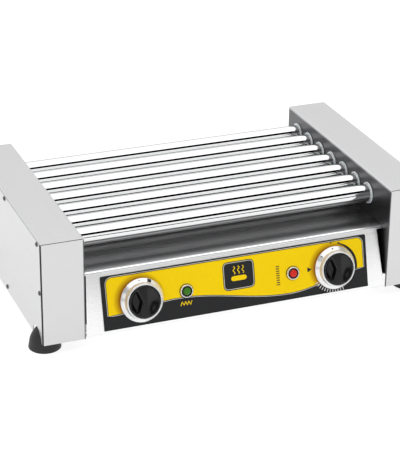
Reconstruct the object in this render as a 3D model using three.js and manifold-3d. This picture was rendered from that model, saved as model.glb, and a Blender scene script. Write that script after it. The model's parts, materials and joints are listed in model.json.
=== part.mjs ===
// Counter-top hot dog roller grill: seven chain-driven heated rollers between two end housings,
// a tilted control panel with two knobs and two lamps, a drip tray and four rubber feet.
// Millimetres, +X to the right, +Y to the back, +Z up. Z = 0 is the counter.
import * as THREE from 'three';
import { mergeVertices } from 'three/addons/utils/BufferGeometryUtils.js';
import Module from 'manifold-3d';

const wasm = await Module();
wasm.setup();

// ---- driving dimensions -------------------------------------------------------------------------
const GAP = 0.3;                 // between pieces that touch
const SHEET = 1.2;               // stainless sheet

const WIDTH = 560;               // over the two side covers
const DEPTH = 342;               // front face to rear face of the end housings
const HOUSING_BOTTOM = 15;       // lower edge of the housings above the counter
const HOUSING_TOP = 163;
const END_WIDTH = 59;            // one end housing, measured along X
const WALL_X = WIDTH / 2 - END_WIDTH;   // roller side of the inner wall
const SEAM = 0.9;                // open seam between two folded plates
const BEND_R = 2;                // inside the folds of the housings and the floor
const LAP = 1;                   // how far solids that become one run into each other

const ROLLERS = 7;
const ROLLER_PITCH = 40;
const ROLLER_FIRST_Y = 66.6;
const ROLLER_Z = 132.4;
const ROLLER_R = 12.7;           // 25.4 mm tube
const ROLLER_BORE_R = 11.5;
const ROLLER_HALF = 245;

const BUSH_R = 14.1;
const BUSH_FLANGE_R = 15.2;
const BUSH_FLANGE = 1.5;
const BUSH_LENGTH = 5;

const CHAIN_PITCH = 8;
const ROLLER_TEETH = 13;
const MOTOR_TEETH = 10;
const TOOTH_RISE = 1.7;          // tooth tip above the pitch circle
const TOOTH_DROP = 2.6;          // tooth root below the pitch circle
const TIP_SHARE = 0.09;          // half a tooth's tip, as a share of the angle between teeth
const ROOT_SHARE = 0.33;         // where its root begins
const SPROCKET_WIDTH = 2.8;
const CHAIN_X = 235.5;           // middle plane of the chain
const CHAIN_WIDTH = 8;
const CHAIN_HALF_HEIGHT = 3.6;

const MOTOR_Y = ROLLER_FIRST_Y + 3 * ROLLER_PITCH;
const MOTOR_Z = 62;
const MOTOR_SHAFT_R = 5;
const MOTOR_SHAFT_DEPTH = 16;    // inside the wall that carries the gearbox
const MOTOR_SHAFT_PAST = 4;      // past the middle of the chain
const MOTOR_BORE_DEPTH = 18;
const MOTOR_SHAFT_CLEAR = 3;     // round the shaft in the wall
const GEARBOX_SIDE = 56;
const GEARBOX_LENGTH = 30;
const MOTOR_CAN_R = 25;
const MOTOR_CAN_LENGTH = 52;

const HEATER_R = 4;
const HEATER_HALF = 262;
const BRACKET_X = 256;
const BRACKET_FRONT = 46;
const BRACKET_LEG = 12;
const BRACKET_THICK = 2;
const BRACKET_RISE = 10;         // bar above and below the heater rods

const PANEL_TILT = THREE.MathUtils.degToRad(14);
const PANEL_LENGTH = 88;         // up the slope, from the bottom edge to the deck
const PANEL_HALF_BOTTOM = 219.4;
const PANEL_HALF_TOP = 213;
const PANEL_LIP = 12;            // flange turned back under the panel
const PANEL_BEND_R = 3.5;
const DECK_END = DEPTH - 1.6;

const LABEL_HALF = 194.5;
const LABEL_LOW = 5.5;
const LABEL_HIGH = 80;
const LABEL_THICK = 0.5;
const LABEL_CORNER = 2;
const CONTROL_MIDDLE = 3;        // the row of controls is centred a little to the right
const KNOB_X = 142.1;            // from that middle
const KNOB_S = 40;               // up the slope
const LAMP_X = 78.3;
const LAMP_S = 41.8;

const SHAFT_R = 3;
const SHAFT_CLEAR = 1;           // round the shaft in the panel
const SHAFT_BACK = -20;
const SHAFT_TIP = 10;
const KNOB_R = 22.5;
const KNOB_TOP = 15.2;
const KNOB_CHAMFER = 1;
const KNOB_GRIP = 10;            // width of the grip bar
const KNOB_WALL = 2.5;           // left round the finger scoops
const KNOB_SCOOP_FLOOR = 5.5;
const SKIRT_R = 30.4;
const SKIRT_BASE_TOP = 2.4;
const SKIRT_FLANGE_R = 25.6;      // inner end of the sloping flange
const SKIRT_FLANGE_TOP = 7.2;
const SKIRT_NECK_R = 24.9;
const SKIRT_NECK_TOP = 13.4;
const SKIRT_TOP = 14;
const SKIRT_RIM_R = 24.6;
const SWITCH_BODY = { halfWidth: 22, halfHeight: 18, depth: 30 };
const THERMOSTAT_BODY = { halfWidth: 19, halfHeight: 16, depth: 36 };
const TAB_HALF_THICK = 2;
const TAB_LENGTH = 8;

const LAMP_BARREL_R = 8.4;
const LAMP_BORE_R = 7.5;
const LAMP_FLANGE_R = 9.4;
const LAMP_BEZEL_SHOULDER = [LAMP_FLANGE_R, 2.2];
const LAMP_BEZEL_CREST = [8.7, 3.6];
const LAMP_DOME = [[7.2, 3.2], [5.4, 4.9], [2.8, 6.1], [0, 6.5]];
const LAMP_BACK = -14;

const FOOT_X = 270;
const FOOT_Y = 26;
const FOOT_PROFILE = [
  [22, 0], [22, 1.5], [21, 7.5], [19.8, 14], [17.5, 19.5], [14.5, 24.5], [11, 29], [6, 31]];
const NOTCH_Y = 27;
const NOTCH_HALF = 19.5;
const NOTCH_RISE = 17;
const FOOT_CLEAR = 1;            // round a foot in the housing's lower edge
const FLANGE = 12;               // outer flanges that the side cover is screwed to
const COVER_EDGE = 3.5;          // side cover starts this far behind the front face

const PAN_Z = 17;                // floor pan between the end housings
const SHELF_Z = 32;              // raised floor that the feet are bolted to
const PAN_HALF = 217;
const PAN_FRONT = 7;
const PAN_BACK = 2.2;            // short of the rear face

const TRAY_FRONT = 106;
const TRAY_BACK = 333;
const TRAY_HALF = 216;
const TRAY_HEIGHT = 10;
const TRAY_SHEET = 1;
const TRAY_HANDLE_HALF = 60;
const TRAY_HANDLE_END = 357;
const TRAY_LIP = 6;              // turned down at the end of the handle

const VENTS = 8;
const VENT_PITCH = 26;
const VENT_HALF = 9;
const VENT_LOW = 70;
const VENT_HIGH = 74;
const GLAND_X = -170;
const GLAND_Z = 45;
const GLAND_BARREL_R = 7.7;
const GLAND_PROFILE = [           // (radius, distance behind the rear panel), bore to bore
  [4, -8], [GLAND_BARREL_R, -8], [GLAND_BARREL_R, 0.3], [11, 0.3], [11, 5], [9, 6], [9, 11],
  [6, 15], [4, 15]];

const ROUND = 24;                // facets of the parts that show
const ROUGH = 16;                // facets of the parts inside
const SLIM = 12;                 // facets of shafts and rods
const SCOOP_STEPS = 8;           // of the wall round a finger scoop
const CORNER_STEPS = 4;          // of a fold or a rounded corner
const HALF = 0.5;
const PAST = 5;                  // how far a cutting tool runs past the faces it goes through

// ---- materials ----------------------------------------------------------------------------------
function finish(color, roughness, metalness) {
  return new THREE.MeshStandardMaterial({ color, roughness, metalness });
}

const satinSteel = finish(0xc9cbcc, 0.35, 1);
const mirrorSteel = finish(0xe4e6e8, 0.08, 1);
const innerSteel = finish(0x9a9da0, 0.5, 1);
const zincSteel = finish(0xa8abae, 0.45, 1);
const ptfe = finish(0xf2f2ee, 0.45, 0);
const rubber = finish(0x141414, 0.75, 0);
const blackPlastic = finish(0x0c0c0e, 0.15, 0);
const chrome = finish(0xe8eaec, 0.06, 1);
const labelYellow = finish(0xf6c800, 0.35, 0);
const greenGlass = finish(0x2c8a1e, 0.15, 0);
const redGlass = finish(0xd0201a, 0.15, 0);
const darkMetal = finish(0x3c3e41, 0.5, 1);

// ---- geometry helpers ---------------------------------------------------------------------------
const AXIS_X = new THREE.Vector3(1, 0, 0);
const AXIS_Y = new THREE.Vector3(0, 1, 0);
const AXIS_Z = new THREE.Vector3(0, 0, 1);

function toSolid(geometry) {
  const bare = geometry.clone();
  bare.deleteAttribute('normal');
  bare.deleteAttribute('uv');
  const merged = mergeVertices(bare, 1e-4);
  const vertProperties = new Float32Array(merged.attributes.position.array);
  const triVerts = new Uint32Array(merged.index.array);
  return new wasm.Manifold(new wasm.Mesh({ numProp: 3, vertProperties, triVerts }));
}

function toGeometry(solid) {
  const mesh = solid.getMesh();
  const geometry = new THREE.BufferGeometry();
  geometry.setAttribute('position', new THREE.BufferAttribute(mesh.vertProperties, 3));
  geometry.setIndex(new THREE.BufferAttribute(mesh.triVerts, 1));
  return geometry;
}

function joined(first, ...others) {
  return toGeometry(others.reduce((sum, other) => sum.add(toSolid(other)), toSolid(first)));
}

function cut(body, ...tools) {
  return toGeometry(tools.reduce((rest, tool) => rest.subtract(toSolid(tool)), toSolid(body)));
}

function block(x0, x1, y0, y1, z0, z1) {
  const geometry = new THREE.BoxGeometry(x1 - x0, y1 - y0, z1 - z0);
  return geometry.translate((x0 + x1) * HALF, (y0 + y1) * HALF, (z0 + z1) * HALF);
}

function shapeOf(points) {
  return new THREE.Shape(points.map(([u, v]) => new THREE.Vector2(u, v)));
}

function extruded(shape, depth, curveSegments = ROUGH) {
  return new THREE.ExtrudeGeometry(shape, { depth, bevelEnabled: false, curveSegments });
}

// A (y, z) outline carried along X from x0 to x1.
function alongX(shape, x0, x1, curveSegments) {
  const turn = new THREE.Matrix4().makeBasis(AXIS_Y, AXIS_Z, AXIS_X);
  return extruded(shape, x1 - x0, curveSegments).applyMatrix4(turn).translate(x0, 0, 0);
}

// An (x, z) outline carried along Y from y0 to y1.
function alongY(shape, y0, y1, curveSegments) {
  const turn = new THREE.Matrix4().makeBasis(AXIS_X, AXIS_Z, AXIS_Y.clone().negate());
  return extruded(shape, y1 - y0, curveSegments).applyMatrix4(turn).translate(0, y1, 0);
}

// A (radius, height) profile turned about +Z. An open profile runs up from the axis to the axis.
function turned(profile, segments) {
  const points = profile.map(([radius, height]) => new THREE.Vector2(radius, height));
  return new THREE.LatheGeometry(points, segments).rotateX(Math.PI / 2);
}

function closed(profile) {
  return [...profile, profile[0]];
}

function discProfile(radius, low, high) {
  return [[0, low], [radius, low], [radius, high], [0, high]];
}

function cylinderZ(radius, low, high, segments = ROUGH) {
  return turned(discProfile(radius, low, high), segments);
}

function pipeX(profile, y, z, segments) {
  return turned(profile, segments).rotateY(Math.PI / 2).translate(0, y, z);
}

function cylinderX(radius, x0, x1, y, z, segments = ROUGH) {
  return pipeX(discProfile(radius, x0, x1), y, z, segments);
}

function cylinderY(radius, y0, y1, x, z, segments = ROUGH) {
  return cylinderZ(radius, -y1, -y0, segments).rotateX(Math.PI / 2).translate(x, 0, z);
}

// The outline of a folded sheet: a path of corner points, each bend rounded, offset to one side.
function foldedSheet(path, thickness, bendRadius) {
  const corners = path.map(([u, v]) => new THREE.Vector2(u, v));
  const outer = [];
  const inner = [];
  const side = (a, b) => new THREE.Vector2(a.y - b.y, b.x - a.x).normalize();
  corners.forEach((corner, i) => {
    const before = i > 0 ? side(corners[i - 1], corner) : side(corner, corners[i + 1]);
    const after = i < corners.length - 1 ? side(corner, corners[i + 1]) : before;
    const turn = before.cross(after);
    if (Math.abs(turn) < 1e-6) {
      outer.push(corner.clone());
      inner.push(corner.clone().addScaledVector(before, thickness));
      return;
    }
    const half = before.clone().add(after).normalize();
    const reach = 1 / half.dot(before);
    const inward = turn > 0;
    const radius = inward ? bendRadius : bendRadius - thickness;
    const centre = corner.clone().addScaledVector(half, (inward ? radius : -radius) * reach);
    for (let step = 0; step <= CORNER_STEPS; step += 1) {
      const direction = before.clone().lerp(after, step / CORNER_STEPS).normalize();
      const away = inward ? -1 : 1;
      outer.push(centre.clone().addScaledVector(direction, away * radius));
      inner.push(centre.clone().addScaledVector(direction, away * radius + thickness));
    }
  });
  return new THREE.Shape([...outer, ...inner.reverse()]);
}

function mirrored(geometry) {
  const flipped = geometry.clone().scale(-1, 1, 1);
  const index = flipped.index.array;
  for (let i = 0; i < index.length; i += 3) {
    [index[i], index[i + 1]] = [index[i + 1], index[i]];
  }
  return flipped;
}

const grill = new THREE.Group();

// The control panel's own frame: X across, Y up the slope, Z out of its face.
const panel = new THREE.Group();
panel.position.set(0, 0, HOUSING_BOTTOM);
panel.rotation.x = Math.PI / 2 - PANEL_TILT;
grill.add(panel);

function place(name, geometry, material, parent = grill) {
  const mesh = new THREE.Mesh(toGeometry(toSolid(geometry)), material);
  mesh.name = name;
  parent.add(mesh);
  return mesh;
}

function onPanel(name, geometry, material, x, s) {
  place(name, geometry, material, panel).position.set(CONTROL_MIDDLE + x, s, 0);
}

// Tools for the panel's holes, in the panel's own frame: two shafts and two lamp barrels.
function controlHoles() {
  const hole = (x, s, radius) => cylinderZ(radius, -PAST, PAST).translate(CONTROL_MIDDLE + x, s, 0);
  return [-1, 1].flatMap((side) => [
    hole(side * KNOB_X, KNOB_S, SHAFT_R + SHAFT_CLEAR),
    hole(side * LAMP_X, LAMP_S, LAMP_BARREL_R + GAP)]);
}

function rollerY(index) {
  return ROLLER_FIRST_Y + index * ROLLER_PITCH;
}

// ---- end housings -------------------------------------------------------------------------------
function footWell(y) {
  return cylinderZ(FOOT_PROFILE[0][0] + FOOT_CLEAR, 0, SHELF_Z, ROUND).translate(FOOT_X, y, 0);
}

function endBox(holes) {
  const outer = WIDTH / 2;
  const flangeOuter = outer - SHEET - GAP;
  const wallFoot = SHELF_Z + SHEET + 2 * GAP;
  const wallAndTop = foldedSheet(
    [[outer, HOUSING_TOP], [WALL_X, HOUSING_TOP], [WALL_X, wallFoot]], SHEET, BEND_R);
  const fold = alongY(wallAndTop, 0, DEPTH);
  const face = (y) => block(WALL_X, flangeOuter, y, y + SHEET, HOUSING_BOTTOM, HOUSING_TOP - SHEET - SEAM);
  const flange = (y) => block(flangeOuter - SHEET, flangeOuter, y, y + FLANGE, HOUSING_BOTTOM,
    HOUSING_TOP - SHEET - SEAM);
  const box = joined(fold, face(0), face(DEPTH - SHEET), flange(0), flange(DEPTH - FLANGE));
  return cut(box, footWell(FOOT_Y), footWell(DEPTH - FOOT_Y), ...holes);
}

function wallHoles() {
  return Array.from({ length: ROLLERS }, (_, i) =>
    cylinderX(BUSH_R + GAP, WALL_X - PAST, WALL_X + PAST, rollerY(i), ROLLER_Z, ROUGH));
}

function motorHole() {
  return cylinderX(MOTOR_SHAFT_R + MOTOR_SHAFT_CLEAR, WALL_X - PAST, WALL_X + PAST, MOTOR_Y, MOTOR_Z, ROUGH);
}

function sideCover() {
  const outer = WIDTH / 2;
  const low = HOUSING_BOTTOM;
  const high = HOUSING_TOP - SHEET - SEAM;
  const plate = block(outer - SHEET, outer, COVER_EDGE, DEPTH - COVER_EDGE, low, high);
  const notch = (y) => cylinderX(1, outer - 2 * SHEET, outer + SHEET, 0, 0, ROUND)
    .scale(1, NOTCH_HALF, NOTCH_RISE).translate(0, y, low);
  return cut(plate, notch(NOTCH_Y), notch(DEPTH - NOTCH_Y));
}

place('right_end_box', endBox([...wallHoles(), motorHole()]), satinSteel);
place('left_end_box', mirrored(endBox(wallHoles())), satinSteel);
place('right_side_cover', sideCover(), satinSteel);
place('left_side_cover', mirrored(sideCover()), satinSteel);

// ---- body between the housings ------------------------------------------------------------------
function controlPanel() {
  const deckY = PANEL_LENGTH * Math.sin(PANEL_TILT);
  const deckZ = HOUSING_BOTTOM + PANEL_LENGTH * Math.cos(PANEL_TILT);
  const half = WALL_X - GAP;
  const path = [[DECK_END, deckZ], [deckY, deckZ], [0, HOUSING_BOTTOM], [PANEL_LIP, HOUSING_BOTTOM]];
  const sheet = alongX(foldedSheet(path, SHEET, PANEL_BEND_R), -half, half);
  const shoulder = deckZ - PANEL_BEND_R;
  const trim = alongY(shapeOf([
    [PANEL_HALF_BOTTOM, HOUSING_BOTTOM - LAP], [half + LAP, HOUSING_BOTTOM - LAP],
    [half + LAP, shoulder], [PANEL_HALF_TOP, shoulder]]), -LAP, deckY + LAP);
  const holes = controlHoles().map((hole) => (
    hole.rotateX(panel.rotation.x).translate(0, 0, HOUSING_BOTTOM)));
  return cut(sheet, trim, mirrored(toGeometry(toSolid(trim))), ...holes);
}

function rearPanel() {
  const half = WALL_X - GAP;
  const top = HOUSING_BOTTOM + PANEL_LENGTH * Math.cos(PANEL_TILT);
  const plate = block(-half, half, DEPTH - SHEET, DEPTH, HOUSING_BOTTOM, top);
  const vent = (i) => {
    const x = (i - (VENTS - 1) / 2) * VENT_PITCH;
    return block(x - VENT_HALF, x + VENT_HALF, DEPTH - PAST, DEPTH + PAST, VENT_LOW, VENT_HIGH);
  };
  const vents = Array.from({ length: VENTS }, (_, i) => vent(i));
  const glandHole = cylinderY(GLAND_BARREL_R + 2 * GAP, DEPTH - PAST, DEPTH + PAST, GLAND_X, GLAND_Z);
  return cut(plate, glandHole, ...vents);
}

function basePlate() {
  const end = WIDTH / 2 - 2 * SHEET - 3 * GAP;
  const path = [
    [end, SHELF_Z], [PAN_HALF, SHELF_Z], [PAN_HALF, PAN_Z],
    [-PAN_HALF, PAN_Z], [-PAN_HALF, SHELF_Z], [-end, SHELF_Z]];
  return alongY(foldedSheet([...path].reverse(), SHEET, BEND_R), PAN_FRONT, DEPTH - PAN_BACK);
}

function dripTray() {
  const deckZ = HOUSING_BOTTOM + PANEL_LENGTH * Math.cos(PANEL_TILT);
  const low = deckZ + GAP;
  const high = low + TRAY_HEIGHT;
  const shell = cut(
    block(-TRAY_HALF, TRAY_HALF, TRAY_FRONT, TRAY_BACK, low, high),
    block(TRAY_SHEET - TRAY_HALF, TRAY_HALF - TRAY_SHEET, TRAY_FRONT + TRAY_SHEET,
      TRAY_BACK - TRAY_SHEET, low + TRAY_SHEET, high + LAP));
  const handle = block(-TRAY_HANDLE_HALF, TRAY_HANDLE_HALF, TRAY_BACK - TRAY_SHEET, TRAY_HANDLE_END,
    high - TRAY_SHEET, high);
  const lip = block(-TRAY_HANDLE_HALF, TRAY_HANDLE_HALF, TRAY_HANDLE_END - TRAY_SHEET,
    TRAY_HANDLE_END, high - TRAY_LIP, high);
  return joined(shell, handle, lip);
}

function cableGland() {
  return turned(closed(GLAND_PROFILE), ROUGH).rotateX(-Math.PI / 2).translate(GLAND_X, DEPTH, GLAND_Z);
}

function foot(x, y) {
  return turned([[0, 0], ...FOOT_PROFILE, [0, FOOT_PROFILE.at(-1)[1]]], ROUND).translate(x, y, 0);
}

place('control_panel', controlPanel(), satinSteel);
place('rear_panel', rearPanel(), satinSteel);
place('base_plate', basePlate(), zincSteel);
place('drip_tray', dripTray(), satinSteel);
place('cable_gland', cableGland(), blackPlastic);
place('foot_front_left', foot(-FOOT_X, FOOT_Y), rubber);
place('foot_front_right', foot(FOOT_X, FOOT_Y), rubber);
place('foot_rear_left', foot(-FOOT_X, DEPTH - FOOT_Y), rubber);
place('foot_rear_right', foot(FOOT_X, DEPTH - FOOT_Y), rubber);

// ---- rollers, bushings and chain drive ----------------------------------------------------------
function pitchRadius(teeth) {
  return CHAIN_PITCH / 2 / Math.sin(Math.PI / teeth);
}

function roller(index) {
  const profile = closed([
    [ROLLER_BORE_R, -ROLLER_HALF], [ROLLER_R, -ROLLER_HALF],
    [ROLLER_R, ROLLER_HALF], [ROLLER_BORE_R, ROLLER_HALF]]);
  return pipeX(profile, rollerY(index), ROLLER_Z, ROUND);
}

function bushing(index) {
  const bore = ROLLER_R + GAP;
  const face = WALL_X - GAP - BUSH_FLANGE;
  const profile = closed([
    [bore, face], [BUSH_FLANGE_R, face], [BUSH_FLANGE_R, WALL_X - GAP], [BUSH_R, WALL_X - GAP],
    [BUSH_R, WALL_X + BUSH_LENGTH], [bore, WALL_X + BUSH_LENGTH]]);
  return pipeX(profile, rollerY(index), ROLLER_Z, ROUGH);
}

// A toothed wheel about X with a tooth pointing straight up.
function sprocket(teeth, boreRadius, y, z) {
  const pitch = pitchRadius(teeth);
  const tip = pitch + TOOTH_RISE;
  const root = pitch - TOOTH_DROP;
  const step = 2 * Math.PI / teeth;
  const corners = [
    [tip, -TIP_SHARE], [tip, TIP_SHARE], [root, ROOT_SHARE], [root, 1 - ROOT_SHARE]];
  const points = Array.from({ length: teeth }, (_, tooth) => corners.map(([radius, share]) => {
    const angle = Math.PI / 2 + (tooth + share) * step;
    return [y + radius * Math.cos(angle), z + radius * Math.sin(angle)];
  })).flat();
  const low = CHAIN_X - SPROCKET_WIDTH / 2;
  const wheel = alongX(shapeOf(points), low, low + SPROCKET_WIDTH);
  return cut(wheel, cylinderX(boreRadius, low - LAP, low + SPROCKET_WIDTH + LAP, y, z, ROUND));
}

// The loop round the first roller's, the last roller's and the motor's sprockets, offset from
// their pitch circles. The corners run anticlockwise as seen along -X.
function chainOutline(offset) {
  const wheels = [
    { y: rollerY(0), z: ROLLER_Z, radius: pitchRadius(ROLLER_TEETH) + offset },
    { y: MOTOR_Y, z: MOTOR_Z, radius: pitchRadius(MOTOR_TEETH) + offset },
    { y: rollerY(ROLLERS - 1), z: ROLLER_Z, radius: pitchRadius(ROLLER_TEETH) + offset }];
  // Angle of the outward normal of the outer tangent from one wheel to the next.
  const tangent = (from, to) => {
    const along = Math.atan2(to.z - from.z, to.y - from.y);
    const lean = Math.asin((from.radius - to.radius) / Math.hypot(to.y - from.y, to.z - from.z));
    return along - Math.PI / 2 + lean;
  };
  const points = wheels.flatMap((wheel, i) => {
    const start = tangent(wheels.at(i - 1), wheel);
    let end = tangent(wheel, wheels[(i + 1) % wheels.length]);
    while (end < start) end += 2 * Math.PI;
    const steps = 10;
    return Array.from({ length: steps + 1 }, (_, step) => {
      const angle = start + (end - start) * step / steps;
      return [wheel.y + wheel.radius * Math.cos(angle), wheel.z + wheel.radius * Math.sin(angle)];
    });
  });
  return shapeOf(points);
}

// The chain's link plates and backs as one channel that the sprocket teeth run inside.
function chain() {
  const half = CHAIN_WIDTH / 2;
  const slot = SPROCKET_WIDTH / 2 + GAP;
  const loop = alongX(chainOutline(CHAIN_HALF_HEIGHT), CHAIN_X - half, CHAIN_X + half);
  const inside = alongX(chainOutline(-CHAIN_HALF_HEIGHT), CHAIN_X - half - LAP, CHAIN_X + half + LAP);
  const teethRun = alongX(chainOutline(TOOTH_RISE + GAP), CHAIN_X - slot, CHAIN_X + slot);
  return cut(loop, inside, teethRun);
}

for (let i = 0; i < ROLLERS; i += 1) {
  place(`roller_${i + 1}`, roller(i), mirrorSteel);
  place(`bushing_right_${i + 1}`, bushing(i), ptfe);
  place(`bushing_left_${i + 1}`, mirrored(toGeometry(toSolid(bushing(i)))), ptfe);
  place(`sprocket_${i + 1}`, sprocket(ROLLER_TEETH, ROLLER_R + GAP, rollerY(i), ROLLER_Z), zincSteel);
}
place('drive_chain', chain(), darkMetal);

function gearMotor() {
  const face = WALL_X - GAP;
  const half = GEARBOX_SIDE / 2;
  const back = face - GEARBOX_LENGTH;
  const gearbox = block(back, face, MOTOR_Y - half, MOTOR_Y + half, MOTOR_Z - half, MOTOR_Z + half);
  const can = cylinderX(MOTOR_CAN_R, back - MOTOR_CAN_LENGTH, back + LAP, MOTOR_Y, MOTOR_Z, ROUND);
  const bore = cylinderX(MOTOR_SHAFT_R + GAP, face - MOTOR_BORE_DEPTH, face + LAP, MOTOR_Y, MOTOR_Z);
  return cut(joined(gearbox, can), bore);
}

function motorShaft() {
  const back = WALL_X - MOTOR_SHAFT_DEPTH;
  return cylinderX(MOTOR_SHAFT_R, back, CHAIN_X + MOTOR_SHAFT_PAST, MOTOR_Y, MOTOR_Z);
}

place('gear_motor', gearMotor(), darkMetal);
place('motor_shaft', motorShaft(), zincSteel);
place('motor_sprocket', sprocket(MOTOR_TEETH, MOTOR_SHAFT_R + GAP, MOTOR_Y, MOTOR_Z), zincSteel);

// ---- heaters ------------------------------------------------------------------------------------
// A gate-shaped plate that stands on the floor and holds the rod ends, on the +X side.
function heaterGate() {
  const back = rollerY(ROLLERS - 1) + ROLLER_FIRST_Y - BRACKET_FRONT;
  const foot = SHELF_Z + SHEET + GAP;
  const outline = shapeOf([
    [BRACKET_FRONT, foot], [BRACKET_FRONT + BRACKET_LEG, foot],
    [BRACKET_FRONT + BRACKET_LEG, ROLLER_Z - BRACKET_RISE], [back - BRACKET_LEG, ROLLER_Z - BRACKET_RISE],
    [back - BRACKET_LEG, foot], [back, foot],
    [back, ROLLER_Z + BRACKET_RISE], [BRACKET_FRONT, ROLLER_Z + BRACKET_RISE]]);
  return alongX(outline, BRACKET_X, BRACKET_X + BRACKET_THICK);
}

function heaterRods(radius, from, to) {
  return Array.from({ length: ROLLERS }, (_, i) =>
    cylinderX(radius, from, to, rollerY(i), ROLLER_Z, SLIM));
}

const gateLeft = mirrored(toGeometry(toSolid(heaterGate())));
const rodHoles = heaterRods(HEATER_R + GAP, BRACKET_X - LAP, BRACKET_X + BRACKET_THICK + LAP);
place('heater_rack', joined(gateLeft, ...heaterRods(HEATER_R, -HEATER_HALF, HEATER_HALF)), innerSteel);
place('heater_bracket', cut(heaterGate(), ...rodHoles), zincSteel);

// ---- controls on the panel ----------------------------------------------------------------------
function labelPlate() {
  const radius = LABEL_CORNER;
  const low = LABEL_LOW;
  const high = LABEL_HIGH;
  const shape = new THREE.Shape();
  shape.moveTo(-LABEL_HALF, low);
  shape.lineTo(LABEL_HALF, low);
  shape.lineTo(LABEL_HALF, high - radius);
  shape.absarc(LABEL_HALF - radius, high - radius, radius, 0, Math.PI / 2, false);
  shape.absarc(radius - LABEL_HALF, high - radius, radius, Math.PI / 2, Math.PI, false);
  shape.closePath();
  const plate = extruded(shape, LABEL_THICK, CORNER_STEPS).translate(0, 0, GAP);
  return cut(plate, ...controlHoles());
}

function knob() {
  const low = GAP + LABEL_THICK + GAP;
  const drum = turned([
    [0, low], [KNOB_R, low], [KNOB_R, KNOB_TOP - KNOB_CHAMFER], [KNOB_R - KNOB_CHAMFER, KNOB_TOP],
    [0, KNOB_TOP]], ROUND);
  const shaftHole = cylinderZ(SHAFT_R + GAP, low - LAP, SHAFT_TIP + LAP, SLIM);
  const scoop = (side) => {
    const reach = KNOB_R - KNOB_WALL;
    const shape = new THREE.Shape();
    const start = Math.acos(KNOB_GRIP / 2 / reach);
    shape.absarc(0, 0, reach, -start, start, false);
    shape.closePath();
    const tool = extruded(shape, KNOB_TOP, SCOOP_STEPS).translate(0, 0, KNOB_SCOOP_FLOOR);
    return side > 0 ? tool : tool.rotateZ(Math.PI);
  };
  return cut(drum, shaftHole, scoop(1), scoop(-1));
}

function skirt() {
  const low = GAP + LABEL_THICK + GAP;
  const bore = KNOB_R + GAP;
  return turned(closed([
    [bore, low], [SKIRT_R, low], [SKIRT_R, SKIRT_BASE_TOP], [SKIRT_FLANGE_R, SKIRT_FLANGE_TOP],
    [SKIRT_NECK_R, SKIRT_NECK_TOP], [SKIRT_RIM_R, SKIRT_TOP], [bore, SKIRT_TOP]]), ROUND);
}

function controlShaft() {
  return cylinderZ(SHAFT_R, SHAFT_BACK, SHAFT_TIP, SLIM);
}

// The body behind the panel, with its threaded nose in the panel's hole.
function controlBody({ halfWidth, halfHeight, depth }) {
  const face = -SHEET - GAP;
  const back = face - depth;
  const body = block(-halfWidth, halfWidth, -halfHeight, halfHeight, back, face);
  const tabs = block(-halfWidth * HALF, halfWidth * HALF, -TAB_HALF_THICK, TAB_HALF_THICK,
    back - TAB_LENGTH, back + LAP);
  return cut(joined(body, tabs), cylinderZ(SHAFT_R + GAP, SHAFT_BACK - 2 * LAP, LAP, SLIM));
}

function lampBezel() {
  const low = GAP + LABEL_THICK + GAP;
  return turned(closed([
    [LAMP_BORE_R, LAMP_BACK], [LAMP_BARREL_R, LAMP_BACK], [LAMP_BARREL_R, low], [LAMP_FLANGE_R, low],
    LAMP_BEZEL_SHOULDER, LAMP_BEZEL_CREST, [LAMP_BORE_R, LAMP_BEZEL_CREST[1]]]), ROUND);
}

function lampLens() {
  const back = LAMP_BACK + 2 * LAP;
  return turned([[0, back], [LAMP_DOME[0][0], back], ...LAMP_DOME], ROUND);
}

place('label_plate', labelPlate(), labelYellow, panel);
onPanel('selector_switch', controlBody(SWITCH_BODY), blackPlastic, -KNOB_X, KNOB_S);
onPanel('switch_shaft', controlShaft(), zincSteel, -KNOB_X, KNOB_S);
onPanel('switch_skirt', skirt(), chrome, -KNOB_X, KNOB_S);
onPanel('switch_knob', knob(), blackPlastic, -KNOB_X, KNOB_S);
onPanel('thermostat', controlBody(THERMOSTAT_BODY), zincSteel, KNOB_X, KNOB_S);
onPanel('thermostat_shaft', controlShaft(), zincSteel, KNOB_X, KNOB_S);
onPanel('thermostat_skirt', skirt(), chrome, KNOB_X, KNOB_S);
onPanel('thermostat_knob', knob(), blackPlastic, KNOB_X, KNOB_S);
onPanel('green_lamp_bezel', lampBezel(), chrome, -LAMP_X, LAMP_S);
onPanel('green_lamp_lens', lampLens(), greenGlass, -LAMP_X, LAMP_S);
onPanel('red_lamp_bezel', lampBezel(), chrome, LAMP_X, LAMP_S);
onPanel('red_lamp_lens', lampLens(), redGlass, LAMP_X, LAMP_S);

// The origin is the middle of the whole footprint, on the counter.
const footprint = new THREE.Box3().setFromObject(grill);
grill.position.y = -(footprint.min.y + footprint.max.y) / 2;
grill.updateMatrixWorld(true);

export default grill;
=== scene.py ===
"""Looks of the hot dog roller grill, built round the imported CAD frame. Metres, the CAD's own frame."""
import json
import math

import bmesh
import bpy
from mathutils import Matrix, Vector


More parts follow.
